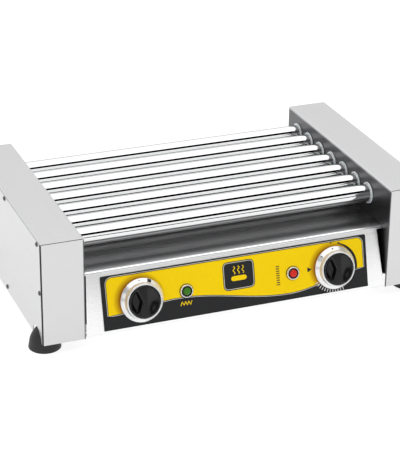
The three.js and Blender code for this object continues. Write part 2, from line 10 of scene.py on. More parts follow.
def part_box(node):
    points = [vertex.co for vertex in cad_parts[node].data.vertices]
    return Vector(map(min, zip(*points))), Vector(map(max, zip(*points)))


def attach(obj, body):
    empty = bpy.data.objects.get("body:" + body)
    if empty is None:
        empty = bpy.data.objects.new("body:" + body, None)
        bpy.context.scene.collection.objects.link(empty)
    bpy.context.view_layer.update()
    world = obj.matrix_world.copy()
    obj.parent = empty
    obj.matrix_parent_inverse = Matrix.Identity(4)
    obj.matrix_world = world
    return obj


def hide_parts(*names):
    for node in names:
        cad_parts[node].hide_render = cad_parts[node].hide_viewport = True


MM = 0.001
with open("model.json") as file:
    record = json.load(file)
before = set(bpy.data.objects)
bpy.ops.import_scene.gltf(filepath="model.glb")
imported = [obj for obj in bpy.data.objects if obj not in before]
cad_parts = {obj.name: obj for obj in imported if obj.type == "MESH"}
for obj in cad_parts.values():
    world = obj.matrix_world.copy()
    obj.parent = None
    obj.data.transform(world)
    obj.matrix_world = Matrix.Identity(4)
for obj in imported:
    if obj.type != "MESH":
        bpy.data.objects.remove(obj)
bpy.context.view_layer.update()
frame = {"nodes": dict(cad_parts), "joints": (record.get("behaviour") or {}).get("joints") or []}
nodes = frame["nodes"]
joints = {joint["name"]: joint for joint in frame["joints"]}
SIDES = {"left": -1, "right": 1}
ROLLERS = 7

# ---- camera --------------------------------------------------------------------------------------
CAMERA_X = -0.8194
CAMERA_BEFORE_FRONT = 1.9092     # in front of the housings' front face
CAMERA_Z = 1.1076
CAMERA_YAW = math.radians(21.68)
CAMERA_PITCH = math.radians(24.98)
CAMERA_ROLL = math.radians(0.67)
CAMERA_LENS = 135.2
SENSOR_WIDTH = 36
CLIP_END = 50


def make_camera():
    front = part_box("left_end_box")[0].y
    place = (CAMERA_X, front - CAMERA_BEFORE_FRONT, CAMERA_Z)
    data = bpy.data.cameras.new("camera")
    data.lens = CAMERA_LENS
    data.sensor_width = SENSOR_WIDTH
    data.clip_end = CLIP_END
    camera = bpy.data.objects.new("camera", data)
    bpy.context.scene.collection.objects.link(camera)
    level = Matrix.Rotation(math.pi / 2 - CAMERA_PITCH, 4, "X")
    roll = Matrix.Rotation(CAMERA_ROLL, 4, "Z")
    camera.matrix_world = (
        Matrix.Translation(place) @ Matrix.Rotation(-CAMERA_YAW, 4, "Z") @ level @ roll
    )
    bpy.context.scene.camera = camera


make_camera()


# ---- materials -----------------------------------------------------------------------------------
NOISE_LOW, NOISE_HIGH = 0.3, 0.7  # where a noise texture's values mostly lie
MIX_A, MIX_B, MIX_RESULT = 6, 7, 2  # the colour sockets of a Mix node


class Nodes:
    """A material's node tree, with short calls for the few nodes used here."""

    def __init__(self, name):
        self.material = bpy.data.materials.new(name)
        self.material.use_nodes = True
        self.tree = self.material.node_tree
        self.shader = self.tree.nodes["Principled BSDF"]

    def add(self, kind, **settings):
        node = self.tree.nodes.new(kind)
        for key, value in settings.items():
            setattr(node, key, value)
        return node

    def link(self, source, target):
        self.tree.links.new(source, target)

    def set(self, **values):
        for key, value in values.items():
            self.shader.inputs[key.replace("_", " ")].default_value = value

    def place(self, scale):
        """Object coordinates stretched by scale, in units of a metre."""
        coordinates = self.add("ShaderNodeTexCoord")
        mapping = self.add("ShaderNodeMapping")
        mapping.inputs["Scale"].default_value = scale
        self.link(coordinates.outputs["Object"], mapping.inputs["Vector"])
        return mapping.outputs["Vector"]

    def noise(self, scale, size=1.0, detail=3.0):
        texture = self.add("ShaderNodeTexNoise")
        texture.inputs["Scale"].default_value = size
        texture.inputs["Detail"].default_value = detail
        self.link(self.place(scale), texture.inputs["Vector"])
        return texture.outputs["Fac"]

    def spread(self, value, low, high):
        """A noise value, stretched to low..high."""
        node = self.add("ShaderNodeMapRange")
        node.inputs["From Min"].default_value = NOISE_LOW
        node.inputs["From Max"].default_value = NOISE_HIGH
        node.inputs["To Min"].default_value = low
        node.inputs["To Max"].default_value = high
        self.link(value, node.inputs["Value"])
        return node.outputs["Result"]

    def tint(self, value, dark, light):
        ramp = self.add("ShaderNodeValToRGB")
        ramp.color_ramp.elements[0].position = NOISE_LOW
        ramp.color_ramp.elements[0].color = (*dark, 1)
        ramp.color_ramp.elements[1].position = NOISE_HIGH
        ramp.color_ramp.elements[1].color = (*light, 1)
        self.link(value, ramp.inputs["Fac"])
        self.link(ramp.outputs["Color"], self.shader.inputs["Base Color"])

    def position(self):
        """The point's own x, y and z, each as a value."""
        split = self.add("ShaderNodeSeparateXYZ")
        self.link(self.place((1, 1, 1)), split.inputs["Vector"])
        return split.outputs

    def between(self, value, low, high):
        """0 where the value is low, 1 where it is high."""
        node = self.add("ShaderNodeMapRange")
        node.inputs["From Min"].default_value = low
        node.inputs["From Max"].default_value = high
        self.link(value, node.inputs["Value"])
        return node.outputs["Result"]

    def times(self, first, second):
        node = self.add("ShaderNodeMath", operation="MULTIPLY")
        self.link(first, node.inputs[0])
        self.link(second, node.inputs[1])
        return node.outputs["Value"]

    def stain(self, share, color):
        """Mixes the colour into the base colour by the share."""
        mixed = self.add("ShaderNodeMix", data_type="RGBA")
        self.link(share, mixed.inputs["Factor"])
        self.link(self.shader.inputs["Base Color"].links[0].from_socket, mixed.inputs[MIX_A])
        mixed.inputs[MIX_B].default_value = (*color, 1)
        self.link(mixed.outputs[MIX_RESULT], self.shader.inputs["Base Color"])

    def roughen(self, value, low, high):
        self.link(self.spread(value, low, high), self.shader.inputs["Roughness"])

    def bump(self, value, depth, strength=1.0):
        node = self.add("ShaderNodeBump")
        node.inputs["Distance"].default_value = depth
        node.inputs["Strength"].default_value = strength
        self.link(value, node.inputs["Height"])
        self.link(node.outputs["Normal"], self.shader.inputs["Normal"])


ROUGH_GRAIN = 0.6                # streaks of roughness for each streak of colour
DARK_GRAIN = 0.93                # a plain surface's darkest grain, as a share of its colour
ROUGH_SPREAD = 0.15              # its roughness varies by this share either way


def grained_steel(name, grain, dark, light, rough_low, rough_high, depth=2e-6):
    """Rolled stainless sheet: grain is the number of streaks per metre along each axis."""
    made = Nodes(name)
    made.set(Metallic=1.0)
    streaks = made.noise(grain)
    made.tint(streaks, dark, light)
    made.roughen(made.noise(tuple(g * ROUGH_GRAIN for g in grain), detail=2), rough_low, rough_high)
    made.bump(streaks, depth)
    return made.material


def plain(name, color, roughness, metallic=0.0, speckle=900, depth=0.0, **more):
    """A moulded or plated surface with a slight unevenness in its colour and roughness."""
    made = Nodes(name)
    made.set(Metallic=metallic, **more)
    grains = made.noise((speckle, speckle, speckle))
    made.tint(grains, tuple(c * DARK_GRAIN for c in color), color)
    made.roughen(grains, roughness * (1 - ROUGH_SPREAD), roughness * (1 + ROUGH_SPREAD))
    if depth:
        made.bump(grains, depth)
    return made.material


# streaks per metre along X, Y and Z
ALONG_X = (6, 900, 900)
ALONG_Y = (900, 6, 900)

cover_steel = grained_steel("cover_steel", ALONG_Y, (0.63, 0.63, 0.635), (0.66, 0.66, 0.665), 0.36, 0.40,
                            depth=3e-7)
# darker than the other steel: painted shade for the shadowed space under the rollers
tray_steel = grained_steel("tray_steel", ALONG_X, (0.19, 0.19, 0.193), (0.24, 0.24, 0.244), 0.30, 0.38,
                           depth=1e-6)
roller_steel = grained_steel("roller_steel", (3, 500, 500), (0.72, 0.725, 0.73), (0.77, 0.775, 0.78),
                             0.03, 0.05, depth=1e-7)
zinc = plain("zinc", (0.62, 0.63, 0.64), 0.42, metallic=1.0, speckle=300)
chain_steel = plain("chain_steel", (0.30, 0.30, 0.31), 0.38, metallic=1.0)
heater_sheath = plain("heater_sheath", (0.30, 0.27, 0.25), 0.5, metallic=1.0, speckle=200)
motor_paint = plain("motor_paint", (0.05, 0.052, 0.056), 0.45, depth=1e-5)
chrome = plain("chrome", (0.86, 0.865, 0.87), 0.10, metallic=1.0, speckle=150)
skirt_silver = plain("skirt_silver", (0.90, 0.905, 0.915), 0.24, metallic=0.55, speckle=500)
screw_steel = plain("screw_steel", (0.13, 0.13, 0.135), 0.30, metallic=1.0)
ptfe = plain("ptfe", (0.95, 0.95, 0.94), 0.42, speckle=600, Subsurface_Weight=0.15)
# black rubber of the feet; the seam strips and the gasket rims round the lamps use it as painted shade
rubber = plain("rubber", (0.012, 0.012, 0.013), 0.55, speckle=1500, depth=2e-5)
knob_black = plain("knob_black", (0.004, 0.004, 0.0045), 0.14, speckle=400, Specular_IOR_Level=0.4)
gland_plastic = plain("gland_plastic", (0.02, 0.02, 0.02), 0.45, depth=1e-5)
# black print; the crosses on the screw heads use it as painted shade
print_and_shade_black = plain("print_and_shade_black", (0.021, 0.0215, 0.023), 0.40, Specular_IOR_Level=0.15)
label_silver = plain("label_silver", (0.62, 0.60, 0.53), 0.38)
label_white = plain("label_white", (0.80, 0.80, 0.78), 0.4)
green_lens = plain("green_lens", (0.045, 0.20, 0.01), 0.12, Specular_IOR_Level=0.25)
red_lens = plain("red_lens", (0.72, 0.02, 0.012), 0.12, Specular_IOR_Level=0.25)
lens_shade = plain("lens_shade", (0.012, 0.008, 0.008), 0.3, Specular_IOR_Level=0.2)


WALL_SHADE = (0.12, 0.12, 0.125)  # painted shade on the walls that face the rollers
WALL_SHADE_FULL = 1.3 * MM       # it is whole to this depth in the wall
WALL_SHADE_GONE = 1.6 * MM
TOP_SHADE_START = 1.0 * MM       # below the housing's top
TOP_SHADE_FULL = 4.0 * MM
DECK_SHADE = (0.30, 0.30, 0.305)  # painted shade on the panel's deck
DECK_SHADE_START = 21 * MM       # behind the panel's front
DECK_SHADE_FULL = 36 * MM


def housing_steel_and_painted_shade():
    """Bright sheet with painted shade on its walls beside the rollers, below the top."""
    made = Nodes("sheet_steel")
    made.set(Metallic=1.0)
    streaks = made.noise(ALONG_Y)
    made.tint(streaks, (0.63, 0.63, 0.635), (0.65, 0.65, 0.655))
    made.roughen(streaks, 0.34, 0.38)
    low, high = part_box("right_end_box")
    place = made.position()
    across = made.add("ShaderNodeMath", operation="ABSOLUTE")
    made.link(place["X"], across.inputs[0])
    beside = made.between(across.outputs["Value"], low.x + WALL_SHADE_GONE, low.x + WALL_SHADE_FULL)
    below_top = made.between(place["Z"], high.z - TOP_SHADE_START, high.z - TOP_SHADE_FULL)
    made.stain(made.times(beside, below_top), WALL_SHADE)
    return made.material


def panel_steel_and_painted_shade():
    """One folded sheet: the sloping front is bright, and painted shade darkens the deck behind its bend."""
    made = Nodes("panel_steel")
    made.set(Metallic=1.0)
    streaks = made.noise(ALONG_X)
    made.tint(streaks, (0.88, 0.88, 0.885), (0.90, 0.90, 0.905))
    made.roughen(streaks, 0.27, 0.29)
    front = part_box("control_panel")[0].y
    behind = made.between(made.position()["Y"], front + DECK_SHADE_START, front + DECK_SHADE_FULL)
    made.stain(behind, DECK_SHADE)
    return made.material


sheet_steel = housing_steel_and_painted_shade()
panel_steel = panel_steel_and_painted_shade()


# ---- mesh helpers --------------------------------------------------------------------------------
EDGE_SHARE = 0.45                # the most of an edge that a rounded corner takes
ON_AXIS = 1e-9
SAME_PLACE = 1e-6
FLAT_ANGLE = math.radians(1)     # CAD facets that meet at less than this are joined
BEVEL_STEPS = 2


def millimetres(points):
    return [Vector((p[0], p[1])) * MM for p in points]


def rectangle(half_wide, half_high):
    return [(-half_wide, -half_high), (half_wide, -half_high),
            (half_wide, half_high), (-half_wide, half_high)]


def finish_mesh(name, mesh, material, sharp=35):
    mesh.shade_smooth()
    mesh.set_sharp_from_angle(angle=math.radians(sharp))
    mesh.materials.clear()
    mesh.materials.append(material)
    thing = bpy.data.objects.new(name, mesh)
    bpy.context.scene.collection.objects.link(thing)
    return thing


def build(name, vertices, faces, material, sharp=35):
    mesh = bpy.data.meshes.new(name)
    mesh.from_pydata([tuple(v) for v in vertices], [], faces)
    shell = bmesh.new()
    shell.from_mesh(mesh)
    bmesh.ops.recalc_face_normals(shell, faces=shell.faces)
    shell.to_mesh(mesh)
    shell.free()
    return finish_mesh(name, mesh, material, sharp)


def ready(piece, body, slot, *replaced):
    """Says what the piece moves with and which CAD nodes it stands for, and hides those nodes. Its slot, the
    finish it takes, is not used.
    """
    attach(piece, body)
    if replaced:
        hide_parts(*replaced)
    return piece


def filleted(points, radius, steps=4, closed=True):
    """The outline with each corner rounded off by an arc of up to the radius."""
    count = len(points)
    rounded = []
    for i, point in enumerate(points):
        here = Vector(point)
        if not closed and i in (0, count - 1):
            rounded.append(here)
            continue
        before = Vector(points[i - 1]) - here
        after = Vector(points[(i + 1) % count]) - here
        reach = min(radius, before.length * EDGE_SHARE, after.length * EDGE_SHARE)
        start = here + before.normalized() * reach
        end = here + after.normalized() * reach
        for step in range(steps + 1):
            t = step / steps
            rounded.append(start.lerp(here, t).lerp(here.lerp(end, t), t))
    return rounded


def lathe(name, profile, segments, matrix, material, closed=True, sharp=35):
    """A (radius, height) profile in metres turned about the matrix's Z. An open one ends on the axis."""
    vertices = []
    rings = []
    for radius, height in profile:
        if radius < ON_AXIS:
            rings.append([len(vertices)])
            vertices.append(matrix @ Vector((0, 0, height)))
            continue
        rings.append(list(range(len(vertices), len(vertices) + segments)))
        for k in range(segments):
            angle = 2 * math.pi * k / segments
            vertices.append(matrix @ Vector((radius * math.cos(angle), radius * math.sin(angle), height)))
    faces = []
    pairs = list(zip(rings, rings[1:] + rings[:1]))
    if not closed:
        pairs = pairs[:-1]
    for low, high in pairs:
        for k in range(segments):
            nxt = (k + 1) % segments
            if len(low) == 1 and len(high) == 1:
                continue
            if len(low) == 1:
                faces.append((low[0], high[nxt], high[k]))
            elif len(high) == 1:
                faces.append((low[k], low[nxt], high[0]))
            else:
                faces.append((low[k], low[nxt], high[nxt], high[k]))
    return build(name, vertices, faces, material, sharp)


def slab(name, outline, low, high, matrix, material, sharp=35):
    """A flat outline given a thickness along the matrix's Z."""
    count = len(outline)
    vertices = [matrix @ Vector((u, v, low)) for u, v in outline]
    vertices += [matrix @ Vector((u, v, high)) for u, v in outline]
    faces = [tuple(range(count)), tuple(range(count, 2 * count))]
    faces += [(i, (i + 1) % count, (i + 1) % count + count, i + count) for i in range(count)]
    return build(name, vertices, faces, material, sharp)


def ribbon(name, line, width, low, high, matrix, material, closed=False):
    """A stripe of even width along a line of points."""
    points = [Vector(p) for p in line]
    count = len(points)
    left, right = [], []
    for i, point in enumerate(points):
        before = points[i - 1] if closed or i else point
        after = points[(i + 1) % count] if closed or i < count - 1 else point
        along = (after - before).normalized()
        aside = Vector((-along.y, along.x)) * (width / 2)
        left.append(point + aside)
        right.append(point - aside)
    vertices = []
    for level in (low, high):
        vertices += [matrix @ Vector((p.x, p.y, level)) for p in left]
        vertices += [matrix @ Vector((p.x, p.y, level)) for p in right]
    faces = []
    for i in range(count if closed else count - 1):
        j = (i + 1) % count
        a, b, c, d = i, j, count + j, count + i
        top = 2 * count
        faces += [(a, b, c, d), (top + a, top + b, top + c, top + d)]
        faces += [(a, b, top + b, top + a), (d, c, top + c, top + d)]
    if not closed:
        for i in (0, count - 1):
            faces.append((i, count + i, 3 * count + i, 2 * count + i))
    return build(name, vertices, faces, material)


def refined(node, body, material, slot, bevel, sharp=30):
    """The CAD node's shape with its sharp edges broken, standing for the node."""
    mesh = nodes[node].data.copy()
    shell = bmesh.new()
    shell.from_mesh(mesh)
    bmesh.ops.remove_doubles(shell, verts=shell.verts, dist=SAME_PLACE)
    bmesh.ops.dissolve_limit(shell, angle_limit=FLAT_ANGLE, verts=shell.verts, edges=shell.edges)
    shell.to_mesh(mesh)
    shell.free()
    piece = finish_mesh(node + "_finished", mesh, material, sharp)
    modifier = piece.modifiers.new("edges", "BEVEL")
    modifier.width = bevel
    modifier.segments = BEVEL_STEPS
    modifier.limit_method = "ANGLE"
    modifier.angle_limit = math.radians(sharp)
    modifier.harden_normals = True
    return ready(piece, body, slot, node)


def facing(direction, place):
    """A frame at place whose Z points along direction."""
    return Matrix.Translation(place) @ Vector(direction).to_track_quat("Z", "Y").to_matrix().to_4x4()


# ---- housings and body ---------------------------------------------------------------------------
BENT_EDGE = 0.35 * MM
TRAY_EDGE = 0.3 * MM
SEAM_SHADE_SET_BACK = 0.05 * MM        # of the painted-shade strips, behind the faces round them
SEAM_SHADE_CORNER = 0.1 * MM
SEAM_SHADE_TOP = 1.2 * MM              # below the housing's top
SEAM_SHADE_DEPTH = 1.1 * MM            # of the front and side strips
SEAM_SHADE_CORNER_DEPTH = 1.4 * MM
SEAM_SHADE_INSET = 1.0 * MM            # of a strip's end from the edge it stops at
SEAM_SHADE_INNER = 2 * MM              # the front strip, from the wall beside the rollers
SEAM_SHADE_OUTER = 1.6 * MM            # and from the side cover's face

for side in SIDES:
    refined(f"{side}_end_box", "body", sheet_steel, "satin_steel", BENT_EDGE)
    refined(f"{side}_side_cover", "body", cover_steel, "satin_steel", BENT_EDGE)
refined("control_panel", "body", panel_steel, "satin_steel", BENT_EDGE, sharp=40)
refined("rear_panel", "body", cover_steel, "satin_steel", BENT_EDGE)
refined("base_plate", "body", zinc, "zinc_steel", BENT_EDGE)
refined("drip_tray", "tray", tray_steel, "satin_steel", TRAY_EDGE)


def box_piece(name, low, high, material):
    middle = (Vector(low) + Vector(high)) / 2
    half = (Vector(high) - Vector(low)) / 2
    outline = filleted(rectangle(half.x, half.y), SEAM_SHADE_CORNER)
    return slab(name, outline, -half.z, half.z, Matrix.Translation(middle), material)


def draw_seam_shade(side, sign):
    """Dark strips in the seams under the folded top and in front of the side cover: painted shade for the
    shadow in each gap.
    """
    low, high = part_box(f"{side}_end_box")
    cover_low, cover_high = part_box(f"{side}_side_cover")
    outer = max(abs(cover_low.x), abs(cover_high.x))
    wall = min(abs(low.x), abs(high.x))
    base, top = cover_high.z, high.z - SEAM_SHADE_TOP
    face = outer - SEAM_SHADE_SET_BACK
    runs = {
        "front": ((wall + SEAM_SHADE_INNER, low.y + SEAM_SHADE_SET_BACK, base),
                  (outer - SEAM_SHADE_OUTER, low.y + SEAM_SHADE_DEPTH, top)),
        "side": ((outer - SEAM_SHADE_DEPTH, low.y + SEAM_SHADE_INSET, base), (face, high.y - SEAM_SHADE_INSET, top)),
        "corner": ((outer - SEAM_SHADE_CORNER_DEPTH, cover_low.y - SEAM_SHADE_INSET, cover_low.z),
                   (face, cover_low.y, base)),
    }
    for run, (first, second) in runs.items():
        left, right = sorted((first[0] * sign, second[0] * sign))
        piece = box_piece(f"{side}_{run}_shade_strip", (left, *first[1:]), (right, *second[1:]), rubber)
        ready(piece, "body", "rubber")


for seam_side, seam_sign in SIDES.items():
    draw_seam_shade(seam_side, seam_sign)


# ---- rollers and bushings ------------------------------------------------------------------------
ROLLER_WALL = 1.2 * MM
ROLLER_EDGE = 0.5 * MM
ROLLER_ROUND = 128
BUSHING_CLEAR = 0.25 * MM
BUSHING_LIP = 1.1 * MM           # of the flange past the sleeve
BUSHING_FLANGE = 1.5 * MM        # thickness
BUSHING_FILLET = 0.45 * MM
BUSHING_ROUND = 64


def roller_pieces(index):
    low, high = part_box(f"roller_{index}")
    centre = (low + high) / 2
    radius = (high.z - low.z) / 2
    half = (high.x - low.x) / 2
    bore = radius - ROLLER_WALL
    matrix = facing((1, 0, 0), centre)
    tube = lathe(f"roller_{index}_tube", [
        (bore, -half), (radius - ROLLER_EDGE, -half), (radius, ROLLER_EDGE - half),
        (radius, half - ROLLER_EDGE), (radius - ROLLER_EDGE, half), (bore, half)],
        ROLLER_ROUND, matrix, roller_steel)
    ready(tube, f"roller_{index}_body", "roller_steel", f"roller_{index}")
    for side, sign in SIDES.items():
        bushing(index, side, sign, centre, radius)


def bushing(index, side, sign, centre, roller_radius):
    name = f"bushing_{side}_{index}"
    low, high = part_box(name)
    face = low.x if sign > 0 else -high.x
    end = high.x if sign > 0 else -low.x
    flange = (high.z - low.z) / 2
    bore = roller_radius + BUSHING_CLEAR
    sleeve = flange - BUSHING_LIP
    back = face + BUSHING_FLANGE
    profile = filleted([
        (bore, face), (flange, face), (flange, back), (sleeve, back),
        (sleeve, end), (bore, end)], BUSHING_FILLET)
    matrix = facing((sign, 0, 0), (0, centre.y, centre.z))
    ready(lathe(name + "_ring", profile, BUSHING_ROUND, matrix, ptfe), "body", "ptfe", name)


for number in range(1, ROLLERS + 1):
    roller_pieces(number)


# ---- CAD pieces that keep their shape ------------------------------------------------------------
def dress(material, *names):
    for name in names:
        mesh = nodes[name].data
        mesh.materials.clear()
        mesh.materials.append(material)


dress(zinc, "motor_shaft", "motor_sprocket", "thermostat", "thermostat_shaft", "switch_shaft",
      "heater_bracket", *[f"sprocket_{i}" for i in range(1, ROLLERS + 1)])
dress(heater_sheath, "heater_rack")
dress(chain_steel, "drive_chain")
dress(motor_paint, "gear_motor")
dress(gland_plastic, "cable_gland", "selector_switch")
dress(print_and_shade_black, "label_plate")


# ---- the panel's own frame: X across, Y up the slope, Z out of its face ----------------------------
def panel_frame():
    joint = joints["switch_turn"]
    outward = Vector(joint["axis"]).normalized()
    across = Vector((1, 0, 0))
    up = outward.cross(across)
    knob_row = Vector((0, joint["pos_m"][1], joint["pos_m"][2]))
    rise = (knob_row.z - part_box("control_panel")[0].z) / up.z
    matrix = Matrix((across, up, outward)).transposed().to_4x4()
    return Matrix.Translation(knob_row - up * rise) @ matrix, rise


PANEL, KNOB_S = panel_frame()


def panel_at(x, s, turn=0.0):
    return PANEL @ Matrix.Translation((x, s, 0)) @ Matrix.Rotation(turn, 4, "Z")


# ---- printed label ---------------------------------------------------------------------------------
LABEL_FACE = 0.8 * MM            # top of the CAD label plate above the panel
INK = 0.05 * MM                  # each printed layer stands this much higher
PAINTED_KNOB_SHADOW = (0.30, 0.07, 0.0)    # painted shadow, brown, round each knob
KNOB_SHADOW_LEFT = 3.5 * MM        # its middle, from the knob's axis
KNOB_SHADOW_UP = 1.5 * MM
KNOB_SHADOW_FULL = 26.5 * MM       # from its middle
KNOB_SHADOW_GONE = 37 * MM
# from here to the lamp ticks in millimetres, across from the panel's middle and up its slope
FIELD_LEFT, FIELD_RIGHT, FIELD_TOP = -187, 188.5, 76.5
FIELD_WAVE = [(FIELD_LEFT, 25.5), (-88, 34.7), (75, 15), (FIELD_RIGHT, 34.2)]
FIELD_CORNER = 8
CORNER_STEPS = 8
PINSTRIPE_GAP, PINSTRIPE_WIDTH = 1.3, 0.8
BADGE_LEFT, BADGE_RIGHT, BADGE_LOW, BADGE_HIGH = -21.5, 25, 32, 72
BADGE_CORNER = 8
BADGE_RIM_INSET, BADGE_RIM_WIDTH = 1.6, 0.9
SAUSAGE_R, SAUSAGE_HALF, SAUSAGE_UP = 3.4, 8, 48
HEAT_LINES = (-1, 0, 1)
HEAT_PITCH, HEAT_UP, HEAT_LONG, HEAT_WIDTH = 6.5, 54, 12, 1.1
HEAT_SWAY, HEAT_TURN = 1.3, 0.9  # how far a line of heat sways, and radians per millimetre
ZIGZAG_LEFT, ZIGZAG_PITCH, ZIGZAG_PEAKS = -84.8, 2.35, 8
ZIGZAG_LOW, ZIGZAG_HIGH, ZIGZAG_WIDTH = 22.5, 28, 1.0
LAMP_TICKS, LAMP_TICK_PITCH, LAMP_TICK_UP = 9, 3.2, 29
LAMP_TICK_LEFT, LAMP_TICK_RIGHT, LAMP_TICK_WIDTH = 56.6, 61.8, 1.4
# the thermostat's scale, in millimetres and degrees round its axis
SCALE_R, SCALE_INNER_R = 34.4, 30.6
SCALE_START, SCALE_END = -13, 80
SCALE_EVEN_STEPS = 15            # the arc keeps its width over these, then thins by
SCALE_THINNING = 0.3             # this much a step
DOT_ANGLES, DOT_R, DOT_OUT = (76, 96), 1.1, 35.6
DOT_ARC, DOT_STEPS = 340, 16
SCALE_POINTER = [(-35, 3), (-41.5, 6.6), (-41.5, -0.6)]
TICK_ANGLES = range(212, 296, 7)
TICK_INNER_R, TICK_OUTER_R, TICK_WIDTH = 31.4, 35.6, 1.1
TICK_LOW = 6                     # the ticks stop here, just inside the label
KNOB_XS = {"switch": joints["switch_turn"]["pos_m"][0], "thermostat": joints["thermostat_turn"]["pos_m"][0]}


def eased(points, steps=14):
    """A line through the points that is level at each of them."""
    line = []
    for (x0, y0), (x1, y1) in zip(points, points[1:]):
        for step in range(steps):
            t = step / steps
            line.append((x0 + (x1 - x0) * t, y0 + (y1 - y0) * (1 - math.cos(math.pi * t)) / 2))
    return line + [points[-1]]


def arc(radius, start, end, centre=(0, 0), steps=24):
    """Points along a circle, angles in degrees."""
    angles = [math.radians(start + (end - start) * i / steps) for i in range(steps + 1)]
    return [(centre[0] + radius * math.cos(a), centre[1] + radius * math.sin(a)) for a in angles]


def grown(outline, distance):
    """The anticlockwise outline moved outwards by a distance."""
    moved = []
    for i, point in enumerate(outline):
        before, after = Vector(outline[i - 1]), Vector(outline[(i + 1) % len(outline)])
        along = (after - before).normalized()
        moved.append(Vector(point) + Vector((along.y, -along.x)) * distance)
    return moved


def yellow_ink_and_knob_shadow():
    """Yellow ink, with a painted brown shadow round each knob, furthest to its left and above it."""
    made = Nodes("label_yellow")
    made.set(Specular_IOR_Level=0.12)
    grains = made.noise((300, 300, 300))
    made.tint(grains, (0.98, 0.665, 0.0), (1.0, 0.69, 0.0))
    made.roughen(grains, 0.38, 0.46)
    for x in KNOB_XS.values():
        gap = made.add("ShaderNodeVectorMath", operation="DISTANCE")
        made.link(made.place((1, 1, 1)), gap.inputs[0])
        gap.inputs[1].default_value = panel_at(x - KNOB_SHADOW_LEFT, KNOB_S + KNOB_SHADOW_UP).translation
        made.stain(made.between(gap.outputs["Value"], KNOB_SHADOW_GONE, KNOB_SHADOW_FULL), PAINTED_KNOB_SHADOW)
    return made.material


label_yellow = yellow_ink_and_knob_shadow()


def inked(name, outline, layer, material, matrix=None):
    low = LABEL_FACE + (layer - 1) * INK
    piece = slab(name, millimetres(outline), low, low + INK, matrix or PANEL, material)
    return ready(piece, "body", "printed_label")


def stroked(name, line, width, layer, material, matrix=None, closed=False):
    low = LABEL_FACE + (layer - 1) * INK
    piece = ribbon(name, millimetres(line), width * MM, low, low + INK, matrix or PANEL, material, closed)
    return ready(piece, "body", "printed_label")


def yellow_field():
    top = FIELD_TOP - FIELD_CORNER
    right = arc(FIELD_CORNER, 0, 90, (FIELD_RIGHT - FIELD_CORNER, top), CORNER_STEPS)
    left = arc(FIELD_CORNER, 90, 180, (FIELD_LEFT + FIELD_CORNER, top), CORNER_STEPS)
    outline = eased(FIELD_WAVE) + right + left
    inked("label_field", outline, 1, label_yellow)
    stroked("label_pinstripe", grown(outline, PINSTRIPE_GAP), PINSTRIPE_WIDTH, 1, label_silver, closed=True)


def badge():
    """A plain plaque with a sausage under three lines of heat."""
    plate = filleted([(BADGE_LEFT, BADGE_LOW), (BADGE_RIGHT, BADGE_LOW),
                      (BADGE_RIGHT, BADGE_HIGH), (BADGE_LEFT, BADGE_HIGH)], BADGE_CORNER)
    inked("badge_plate", plate, 2, print_and_shade_black)
    stroked("badge_rim", grown(plate, -BADGE_RIM_INSET), BADGE_RIM_WIDTH, 3, label_silver, closed=True)
    middle = (BADGE_LEFT + BADGE_RIGHT) / 2
    right_end = arc(SAUSAGE_R, -90, 90, (middle + SAUSAGE_HALF, SAUSAGE_UP), CORNER_STEPS)
    left_end = arc(SAUSAGE_R, 90, 270, (middle - SAUSAGE_HALF, SAUSAGE_UP), CORNER_STEPS)
    inked("badge_sausage", right_end + left_end, 3, label_yellow)
    for number in HEAT_LINES:
        line = [(middle + number * HEAT_PITCH + HEAT_SWAY * math.sin(t * HEAT_TURN), HEAT_UP + t)
                for t in range(HEAT_LONG)]
        stroked(f"badge_heat_{number + 2}", line, HEAT_WIDTH, 3, label_yellow)


def heater_symbol():
    peaks = [(ZIGZAG_LEFT + i * ZIGZAG_PITCH, ZIGZAG_LOW if i % 2 == 0 else ZIGZAG_HIGH)
             for i in range(ZIGZAG_PEAKS)]
    for number, leg in enumerate(zip(peaks, peaks[1:]), start=1):
        stroked(f"heater_symbol_{number}", leg, ZIGZAG_WIDTH, 1, label_yellow)


def lamp_ticks():
    for number in range(LAMP_TICKS):
        level = LAMP_TICK_UP + number * LAMP_TICK_PITCH
        line = [(LAMP_TICK_LEFT, level), (LAMP_TICK_RIGHT, level)]
        stroked(f"lamp_tick_{number + 1}", line, LAMP_TICK_WIDTH, 2, print_and_shade_black)


def polar(radius, angle):
    return arc(radius, angle, angle, steps=1)[0]


def thermostat_scale():
    matrix = panel_at(KNOB_XS["thermostat"], KNOB_S)
    outer = arc(SCALE_R, SCALE_START, SCALE_END)
    inner = []
    for step, point in enumerate(outer):
        radius = SCALE_INNER_R + SCALE_THINNING * max(0, step - SCALE_EVEN_STEPS)
        inner.append((point[0] * radius / SCALE_R, point[1] * radius / SCALE_R))
    inked("scale_arc", outer + inner[::-1], 2, print_and_shade_black, matrix)
    for number, angle in enumerate(DOT_ANGLES, start=1):
        dot = arc(DOT_R, 0, DOT_ARC, polar(DOT_OUT, angle), DOT_STEPS)
        inked(f"scale_dot_{number}", dot, 2, print_and_shade_black, matrix)
    inked("scale_pointer", SCALE_POINTER, 2, print_and_shade_black, matrix)
    for number, angle in enumerate(TICK_ANGLES, start=1):
        edge = (KNOB_S / MM - TICK_LOW) / -math.sin(math.radians(angle))
        line = [polar(r, angle) for r in (TICK_INNER_R, min(TICK_OUTER_R, edge))]
        stroked(f"scale_tick_{number}", line, TICK_WIDTH, 2, label_white, matrix)


yellow_field()
badge()
heater_symbol()
lamp_ticks()
thermostat_scale()

